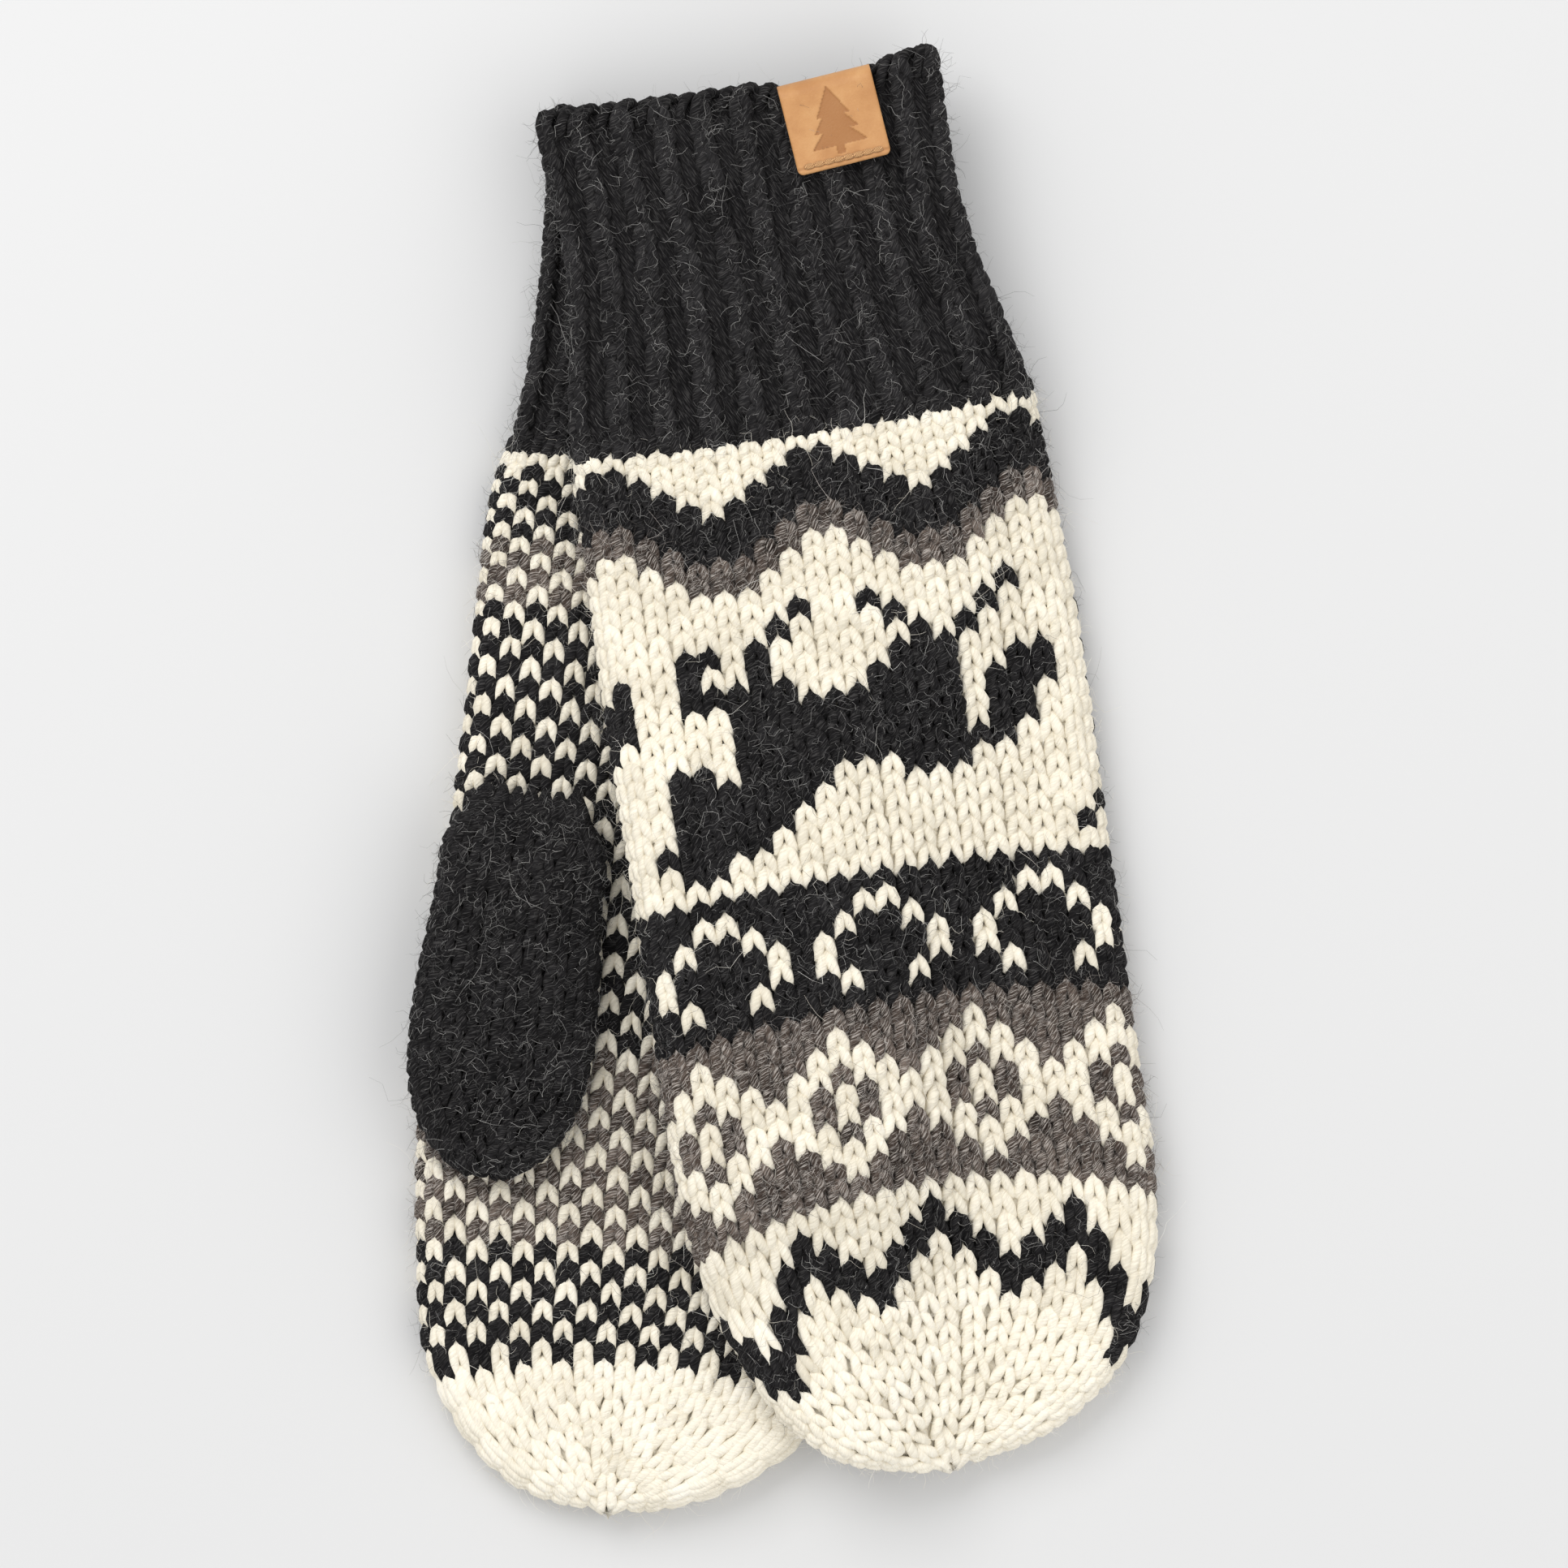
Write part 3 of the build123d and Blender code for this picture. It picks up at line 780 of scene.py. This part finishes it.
def liner_piece(name, surface, heights, shade, holder, node, closed_end, columns=88, shade_at=None):
    """The inner face of the fabric, where the floats run: a thin closed shell behind the loops.

    shade_at gives the yarn at a height and share, where the face isn't all one yarn."""
    shares = np.arange(columns) / columns
    height_grid, share_grid = np.meshgrid(heights, shares, indexing="ij")
    places = surface(height_grid, share_grid)
    normals = normal_of(surface, height_grid, share_grid)
    wave = 0.25 * MM * np.cos(2 * np.pi * share_grid * STITCHES_ROUND)
    outer = places - normals * (LINER_DEPTH - wave)[..., None]
    inner = places - normals * (LINER_DEPTH + LINER_THICKNESS - wave)[..., None]
    rows = len(heights)
    points = np.concatenate([outer.reshape(-1, 3), inner.reshape(-1, 3)])
    index = np.arange(rows * columns).reshape(rows, columns)
    below = index + rows * columns

    def band(first, second):
        return np.stack([first, np.roll(first, -1, -1), np.roll(second, -1, -1), second], -1).reshape(-1, 4)

    quads = [band(index[:-1], index[1:]), band(below[:-1], below[1:])[:, ::-1], band(below[0], index[0])]
    polygons = [index[-1], below[-1][::-1]] if closed_end else []
    if not closed_end:
        quads.append(band(index[-1], below[-1]))
    quads = np.concatenate(quads)
    loops = np.concatenate([quads.ravel()] + polygons)
    totals = np.array([4] * len(quads) + [columns] * len(polygons))
    mesh = raw_mesh(name, points, loops, totals)
    corners = points[loops]
    add_uv(mesh, "yarn", corners[:, 0] / MM, corners[:, 1] / (5 * MM))
    add_value(mesh, "tone", np.zeros(len(points)))
    obj = finish_piece(name, mesh, WOOL[shade], holder)
    if shade_at:
        order = [shade] + [other for other in "CKB" if other != shade]
        for other in order[1:]:
            mesh.materials.append(WOOL[other])
        cells = [order.index(shade_at(heights[row], (column + 0.5) / columns))
                 for row in range(rows - 1) for column in range(columns)]
        rest = [0] * (len(totals) - 2 * len(cells))
        mesh.polygons.foreach_set("material_index", np.array(cells + cells + rest, np.int32))
    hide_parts(node)
    return obj


FIBRE_STEPS = 5
FIBRE_LENGTHS = (1.2, 4.6)
LONG_SHARE = 0.05
LONG_FACTOR = 2.4
LEG_POINTS = (1, 2, 3, 4, 8, 9, 10, 11)


def fibres_piece(name, roots, number, shade, holder):
    """Loose wool fibres that stand off the yarn, rooted on the legs of randomly chosen loops."""
    centres = np.concatenate([line[0] for line in roots])
    outward = np.concatenate([line[1] for line in roots])
    pick = random.integers(0, len(centres), number)
    leg = random.choice(LEG_POINTS, number)
    root = centres[pick, leg]
    normal = outward[pick, leg]
    helper = unit(np.cross(normal, random.normal(0, 1, (number, 3))))
    other = np.cross(normal, helper)
    root = root + normal * 0.75 * YARN_RADIUS + helper * random.uniform(-0.4, 0.4, (number, 1)) * YARN_RADIUS
    size = random.uniform(*FIBRE_LENGTHS, number)[:, None] * MM
    size = size * np.where(random.uniform(0, 1, (number, 1)) < LONG_SHARE, LONG_FACTOR, 1.0)
    lift = random.beta(1.2, 3.4, number)[:, None]
    travel = unit(helper * (1 - 0.6 * lift) + normal * lift)
    phase = random.uniform(0, 2 * np.pi, (number, 2))
    turns = random.uniform(0.4, 1.3, number)
    curl = random.uniform(0.06, 0.24, number)[:, None] * size

    def sway(part, start):
        return (np.sin(turns * part * 2 * np.pi + start) - np.sin(start))[:, None]

    lines = []
    for part in np.linspace(0, 1, FIBRE_STEPS):
        line = (root + travel * size * part + other * curl * sway(part, phase[:, 0])
                + normal * curl * 0.3 * sway(part, phase[:, 1]))
        sunk = np.maximum(-((line - root) * normal).sum(-1, keepdims=True), 0)
        lines.append(line + normal * sunk * 0.8)
    lines = np.stack(lines, 1)
    lines[:, :, 2] = np.maximum(lines[:, :, 2], 0.08 * MM)
    radii = np.linspace(0.036, 0.016, FIBRE_STEPS)[None, :] * MM * random.uniform(0.8, 1.25, (number, 1))
    normals = np.repeat(normal[:, None, :], FIBRE_STEPS, 1)
    tones = random.uniform(0, 1, number) ** 2.2
    mesh = yarn_mesh(name, lines, normals, radii, 3, tones, 1.0)
    return finish_piece(name, mesh, FIBRE[shade], holder)


fibre_roots = {}


def keep_roots(side, part, shade, holder, lines):
    """Remembers laid loops, on which loose fibres are rooted at the end."""
    fibre_roots.setdefault((side, part, shade), (holder, []))[1].append(lines)


# How full each yarn is on the palm, and how far each one's tone is shifted on the hand
PALM_FULLNESS = {"C": 0.92, "K": 1.10, "B": 1.06}
HAND_TONE = {"C": -3.0, "K": 0.0, "B": -1.0}


def hand_pieces(mitten, holder, tip_holder):
    """The stranded hand and the cap, a piece for each face and colour."""
    side = mitten.side
    rows = {}
    for row in range(CAP_ROW):
        pitch = HAND_ROWS[row + 1] - HAND_ROWS[row]
        for turn in range(STITCHES_ROUND):
            face, shade = mitten.stitch_colour(row, turn)
            stitch = (HAND_ROWS[row], pitch, STITCHES_ROUND, turn, 1.0, 0.0)
            rows.setdefault((face, shade), []).append(stitch)
    for (face, shade), stitches in rows.items():
        lines = lay_loops(mitten.hand_surface, LOOP, stitches, YARN_DEPTH)
        keep_roots(side, "hand", shade, holder, lines)
        fullness = PALM_FULLNESS[shade] if face == "palm" else 1.0
        yarn_piece(f"{side}_hand_{face}_{YARN_NAME[shade]}_stitches", lines, shade, holder,
                   radius=YARN_RADIUS * fullness, tone=HAND_TONE[shade])
    heights = np.linspace(-0.5 * MM, HAND_ROWS[CAP_ROW], 99)

    def shade_at(height, share):
        row = min(HAND_ROWS, key=lambda number: abs(HAND_ROWS[number] - height - 0.5 * MM))
        return mitten.stitch_colour(min(row, CAP_ROW - 1), int(share * STITCHES_ROUND))[1]

    liner_piece(f"{side}_hand_inner_face", mitten.hand_surface, heights, "B", holder,
                f"{side}_hand", False, shade_at=shade_at)
    cap_start = HAND_ROWS[CAP_ROW]
    length, counts = mitten.cap["length"], mitten.cap["counts"]
    pitch = length / (len(counts) - 0.4)
    stitches = [(cap_start + pitch * number, pitch, count, turn, 1.0, 0.0)
                for number, count in enumerate(counts) for turn in range(count)]
    lines = lay_loops(mitten.hand_surface, LOOP, stitches, YARN_DEPTH)
    keep_roots(side, "fingertip", "C", tip_holder, lines)
    yarn_piece(f"{side}_fingertip_cream_stitches", lines, "C", tip_holder)
    heights = np.linspace(cap_start - 1 * MM, cap_start + length - 2.5 * MM, 24)
    liner_piece(f"{side}_fingertip_inner_face", mitten.hand_surface, heights, "C",
                tip_holder, f"{side}_fingertip", True)


CUFF_ROWS = 21
PURL_DEPTH = 3.0 * MM


def cuff_pieces(mitten, holder):
    """The ribbed cuff: raised knit ribs with purl grooves set back between them; the ribs' yarn is painted lighter
    as a painted highlight and the grooves' yarn painted darker as painted shade.
    """
    side = mitten.side
    pitch = WRIST_STATION / CUFF_ROWS
    knit, purl = [], []
    for row in range(CUFF_ROWS):
        height = pitch * (row + 0.5)
        for rib in range(FACE_STITCHES):
            knit.append((height, pitch, FACE_STITCHES, rib, 0.48, 0.45 * MM))
            purl.append((height, pitch, FACE_STITCHES, rib + 0.5, 0.34, -PURL_DEPTH))
    widest = LOOP[:, 0].max()
    ridge = LOOP - np.outer((LOOP[:, 0] / widest) ** 2, (0, 0, 0.55))
    lines = lay_loops(mitten.cuff_surface, ridge, knit, YARN_DEPTH, 1.5)
    keep_roots(side, "cuff", "K", holder, lines)
    # Tone raised on the knit ribs: a painted highlight on the ridges of the same charcoal yarn
    yarn_piece(f"{side}_cuff_knit_ribs", lines, "K", holder, radius=1.2 * MM, tone=3.0)
    lines = lay_loops(mitten.cuff_surface, PURL, purl, YARN_DEPTH, 1.5)
    # Tone lowered on the purl grooves: painted shade in the recesses between the ribs
    yarn_piece(f"{side}_cuff_purl_grooves", lines, "K", holder, tone=-11.0)
    heights = np.linspace(0.2 * MM, WRIST_STATION + 0.5 * MM, 36)
    liner_piece(f"{side}_cuff_inner_face", mitten.cuff_surface, heights, "K", holder,
                f"{side}_cuff", False)
    edge_loops(mitten, holder)


def edge_loops(mitten, holder):
    """The cast-on edge: a slanting stitch over the rim for each column, lying like a rope."""
    path = spline([(-0.62, 1.2, -1.9), (-0.42, 0.25, -0.15), (0.0, -0.62, -0.75), (0.42, -0.45, -2.2),
                   (0.55, 0.55, -3.1)], 3)
    stitches = [(0.8 * MM, 3.0 * MM, STITCHES_ROUND, turn, 1.0, 0.0) for turn in range(STITCHES_ROUND)]
    lines = lay_loops(mitten.cuff_surface, path, stitches, YARN_DEPTH)
    profile = np.full(len(path), 1.0)
    profile[[0, -1]] = 0.7
    keep_roots(mitten.side, "cuff", "K", holder, lines)
    yarn_piece(f"{mitten.side}_cuff_cast_on_edge", lines, "K", holder, radius=1.05 * MM, profile=profile)


class Thumb:
    """One thumb's measured tube. It points at right angles to the axis it turns about."""

    def __init__(self, side, joint_name, sign):
        joint = named(frame["joints"], joint_name)
        axis = np.array(joint["axis"]) * sign
        along = (axis[1], -axis[0], 0)
        self.side = side
        self.tube = Tube([f"{side}_thumb"], joint["pos_m"], along, False, 0.4 * MM)
        self.length = self.tube.last - self.tube.first

    def surface(self, height, share):
        return self.tube.point(np.minimum(self.tube.first + height, self.tube.last) + 0 * share, share)


THUMB_STITCHES = 18
THUMB_PITCH = 3.6 * MM
THUMB_TIP_ROWS = 5
TIP_STITCH = 4.7 * MM


def thumb_pieces(thumb, holder):
    rows = int((thumb.length + 0.5 * MM) / THUMB_PITCH)
    pitch = thumb.length / rows
    stitches = []
    for row in range(rows):
        height = pitch * (row + 0.5)
        around = thumb.tube.perimeter(thumb.tube.first + height)
        count = THUMB_STITCHES if row < rows - THUMB_TIP_ROWS else max(6, round(around / TIP_STITCH))
        for turn in range(count):
            stitches.append((height, pitch, count, turn, 1.0, 0.0))
    lines = lay_loops(thumb.surface, LOOP, stitches, YARN_DEPTH)
    keep_roots(thumb.side, "thumb", "K", holder, lines)
    yarn_piece(f"{thumb.side}_thumb_stitches", lines, "K", holder)
    heights = np.linspace(0.3 * MM, thumb.length, 32)
    liner_piece(f"{thumb.side}_thumb_inner_face", thumb.surface, heights, "K", holder,
                f"{thumb.side}_thumb", True, columns=36)


left = Mitten("left", "left_hand_opening", True, (-2, 3, 10, 12))
right = Mitten("right", "right_hand_opening", False, (0, 0, 2, 9))
left_thumb = Thumb("left", "left_thumb_drop", 1)
right_thumb = Thumb("right", "right_thumb_raise", -1)


def on_line(tube, station):
    height = float(np.interp(station, tube.stations, tube.middle[:, tube.LATERAL // 2]))
    return (*tube.place(station, 0.0), height)


# The left cuff and hand are held by the left wrist and the left mitten, with a line from 16 mm before the wrist to
# 1 mm past it; their pieces are left where they are built
left_blend = (on_line(left.tube, WRIST_STATION - 16 * MM), on_line(left.tube, WRIST_STATION + 1 * MM))
left_holder = Holder("left_wrist", "left_mitten", *left_blend)
left_tip_holder = Holder("left_mitten")
right_holder = Holder("right_mitten")


def thumb_holder(thumb, hand, body):
    first = thumb.tube.first
    return Holder(hand, body, on_line(thumb.tube, first), on_line(thumb.tube, first + 9 * MM))


left_thumb_holder = thumb_holder(left_thumb, "left_mitten", "left_thumb_body")
right_thumb_holder = thumb_holder(right_thumb, "right_mitten", "right_thumb_body")

hand_pieces(left, left_holder, left_tip_holder)
hand_pieces(right, right_holder, right_holder)
cuff_pieces(left, left_holder)
cuff_pieces(right, right_holder)
thumb_pieces(left_thumb, left_thumb_holder)
thumb_pieces(right_thumb, right_thumb_holder)

# ---- loose fibres

FIBRES_PER_STITCH = {("hand", "C"): 5.0, ("hand", "K"): 9.0, ("hand", "B"): 18.0, ("cuff", "K"): 10.0,
                     ("fingertip", "C"): 5.0, ("thumb", "K"): 9.0}
for (side, part, shade), (holder, roots) in fibre_roots.items():
    number = int(FIBRES_PER_STITCH[(part, shade)] * sum(len(line[0]) for line in roots))
    fibres_piece(f"{side}_{part}_{YARN_NAME[shade]}_fibres", roots, number, shade, holder)


# ---- label

def leather_material():
    nodes = Nodes("label_leather")
    place = nodes.object_place()
    pores = nodes.add("ShaderNodeTexVoronoi", {"feature": "DISTANCE_TO_EDGE"}, Vector=place,
                      Scale=1500.0).outputs["Distance"]
    cloud = nodes.noise(place, Scale=220.0, Detail=4.0)
    grain = nodes.noise(place, Scale=2600.0, Detail=3.0)
    base = nodes.ramp(cloud, (0.30, colour(182, 130, 80)), (0.55, colour(194, 143, 91)),
                      (0.80, colour(202, 154, 102)))
    base = nodes.mix(nodes.math("MULTIPLY", grain, 0.22), base, colour(150, 96, 50))
    # Painted shade: the debossed tree and the crease are mixed towards a darker leather colour
    base = nodes.mix(nodes.attribute("press_and_shade"), base, colour(150, 98, 52))
    relief = nodes.math("ADD", nodes.math("MULTIPLY", grain, 0.5), nodes.math("MINIMUM", pores, 0.25))
    nodes.bump(relief, 0.5, 0.15 * MM)
    nodes.set(Base_Color=base, Roughness=0.52, Specular_IOR_Level=0.4)
    return nodes.material


def thread_material():
    nodes = Nodes("label_thread")
    along, around = nodes.yarn_place()
    slant = nodes.math("ADD", nodes.math("MULTIPLY", along, 1.4), around)
    wave = nodes.add("ShaderNodeTexWave", Vector=nodes.place(X=slant), Scale=0.95).outputs["Fac"]
    base = nodes.ramp(wave, (0.1, colour(140, 96, 56)), (0.8, colour(214, 166, 112)))
    nodes.bump(wave, 0.8, 0.08 * MM)
    nodes.set(Base_Color=base, Roughness=0.6, Sheen_Weight=0.1)
    return nodes.material


def label_axes():
    """Centre and the two edge directions of the label, from its CAD corners seen from above."""
    flat = bvh_of(["leather_label"])[1][:, :2]
    best = None
    for degrees in np.arange(-45, 45, 0.25):
        turn = math.radians(degrees)
        across = np.array((math.cos(turn), math.sin(turn)))
        along = np.array((-across[1], across[0]))
        spread = (np.ptp(flat @ across), np.ptp(flat @ along))
        if best is None or spread[0] * spread[1] < best[0]:
            middle = (across * ((flat @ across).max() + (flat @ across).min()) / 2
                      + along * ((flat @ along).max() + (flat @ along).min()) / 2)
            best = (spread[0] * spread[1], middle, across, along, spread)
    return best[1:]


TIER_BASES = (0.32, 0.18, 0.04)
TIER_HEIGHT = 0.28


def tree_mark(x, y):
    """1 inside a simple fir tree of three tiers on a label 1 wide and 1 high, and 0 outside it."""
    inside = (np.abs(x) < 0.035) & (y > 0.30) & (y < 0.40)
    for base in TIER_BASES:
        tip = base - TIER_HEIGHT
        half = np.clip((y - tip) / TIER_HEIGHT, 0, 1) * (0.13 + 0.35 * base)
        inside = inside | ((np.abs(x) < half) & (y < base) & (y > tip))
    return inside.astype(float)


def evened_label():
    """The label's CAD solid with small even faces, so that its face can be debossed and creased."""
    obj = new_object("leather_label_folded", frame["nodes"]["leather_label"].data.copy())
    remesh = obj.modifiers.new("even", "REMESH")
    remesh.mode = "VOXEL"
    remesh.voxel_size = 0.22 * MM
    remesh.use_smooth_shade = True
    bpy.context.view_layer.update()
    even = bpy.data.meshes.new_from_object(obj.evaluated_get(bpy.context.evaluated_depsgraph_get()))
    obj.modifiers.clear()
    obj.data = even
    even.materials.clear()
    return obj


PRESS_DEPTH = 0.32 * MM
CREASE_DEPTH = 0.22 * MM
EDGE_DEPTH = 0.25 * MM
WAVE_HEIGHT = 0.10 * MM


def label_piece():
    middle, across, along, spread = label_axes()
    obj = evened_label()
    mesh = obj.data
    points = np.empty(len(mesh.vertices) * 3, np.float32)
    mesh.vertices.foreach_get("co", points)
    points = points.reshape(-1, 3).astype(float)
    x = (points[:, :2] - middle) @ across / spread[0]
    y = -((points[:, :2] - middle) @ along) / spread[1]
    upper = np.clip((points[:, 2] - (points[:, 2].max() - 0.55 * MM)) / (0.3 * MM), 0, 1)
    press_and_shade = tree_mark(x * 0.82, y * 0.86 + 0.08) * upper
    crease = np.exp(-((y - 0.44) / 0.012) ** 2) * upper
    edge = np.maximum(np.abs(x), np.abs(y))
    rounding = np.clip((edge - 0.46) / 0.04, 0, 1) ** 2 * upper
    points[:, 2] -= press_and_shade * PRESS_DEPTH + crease * CREASE_DEPTH + rounding * EDGE_DEPTH
    points[:, 2] += upper * WAVE_HEIGHT * np.sin(x * 9 + 1) * np.cos(y * 7)
    mesh.vertices.foreach_set("co", points.astype(np.float32).ravel())
    mesh.update()
    # This value darkens the leather in the material: painted shade in the debossed tree and along the crease
    add_value(mesh, "press_and_shade", press_and_shade * 0.75 + crease * 0.5)
    mesh.materials.append(leather_material())
    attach(obj, "left_wrist")
    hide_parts("leather_label")


def separate_parts(mesh):
    """Corner points of each unconnected part of a mesh."""
    work = bmesh.new()
    work.from_mesh(mesh)
    seen = set()
    parts = []
    for vertex in work.verts:
        if vertex in seen:
            continue
        seen.add(vertex)
        part = []
        waiting = [vertex]
        while waiting:
            current = waiting.pop()
            part.append(np.array(current.co))
            for edge in current.link_edges:
                other = edge.other_vert(current)
                if other not in seen:
                    seen.add(other)
                    waiting.append(other)
        parts.append(np.array(part))
    work.free()
    return parts


THREAD_RADIUS = 0.30 * MM


def thread_piece():
    """A rounded thread stitch in place of each CAD stitch."""
    lines = []
    for part in separate_parts(frame["nodes"]["label_stitches"].data):
        centre = (part.max(0) + part.min(0)) / 2
        spread = part[:, :2] - centre[:2]
        direction = np.linalg.eigh(spread.T @ spread)[1][:, 1]
        reach = np.array((*direction, 0)) * np.ptp(spread @ direction) * 0.56
        bottom = part[:, 2].min() - 0.25 * MM
        rise = np.ptp(part[:, 2]) + 0.15 * MM
        lines.append([(centre + reach * place) * (1, 1, 0) + (0, 0, bottom + rise * (1 - abs(place) ** 3))
                      for place in np.linspace(-1, 1, 11)])
    lines = np.array(lines)
    normals = np.zeros_like(lines)
    normals[..., 2] = 1
    radii = np.full(lines.shape[:2], THREAD_RADIUS)
    mesh = yarn_mesh("label_thread_stitches", lines, normals, radii, 8, np.zeros(len(lines)), 0.9)
    mesh.materials.append(thread_material())
    obj = new_object("label_thread_stitches", mesh)
    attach(obj, "left_wrist")
    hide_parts("label_stitches")


label_piece()
thread_piece()

# ---- floor, light and camera

FRAME_WIDTH = 0.314
LENS = 200.0
SENSOR = 36.0


def floor():
    mesh = bpy.data.meshes.new("floor")
    size = 3.0
    corners = [(-size, -size, 0), (size, -size, 0), (size, size, 0), (-size, size, 0)]
    mesh.from_pydata(corners, [], [(0, 1, 2, 3)])
    obj = new_object("floor", mesh)
    nodes = Nodes("pale_floor")
    nodes.set(Base_Color=(0.66, 0.66, 0.66, 1), Roughness=0.9, Specular_IOR_Level=0.1)
    obj.data.materials.append(nodes.material)


def area_light(name, place, size, power):
    """A square light that faces the middle of the scene."""
    data = bpy.data.lights.new(name, "AREA")
    data.shape = "SQUARE"
    data.size = size
    data.energy = power
    obj = new_object(name, data)
    obj.location = place
    obj.rotation_euler = (-Vector(place)).to_track_quat("-Z", "Y").to_euler()


def studio():
    floor()
    world = bpy.data.worlds.new("studio")
    world.use_nodes = True
    background = world.node_tree.nodes["Background"]
    background.inputs["Color"].default_value = (1, 1, 1, 1)
    background.inputs["Strength"].default_value = 0.80
    bpy.context.scene.world = world
    area_light("key", (-0.55, 0.75, 1.1), size=0.9, power=10.6)
    area_light("fill", (0.8, -0.3, 1.2), size=1.2, power=5.0)
    bpy.context.scene.view_settings.view_transform = "Standard"


def camera():
    """Looks straight down from far enough to hold the frame's width."""
    data = bpy.data.cameras.new("camera")
    data.lens = LENS
    data.sensor_width = SENSOR
    data.clip_start = 0.01
    obj = new_object("camera", data)
    middle = (cad_low + cad_high) / 2
    obj.location = (middle.x, middle.y, middle.z + FRAME_WIDTH * LENS / SENSOR)
    bpy.context.scene.camera = obj


studio()
camera()
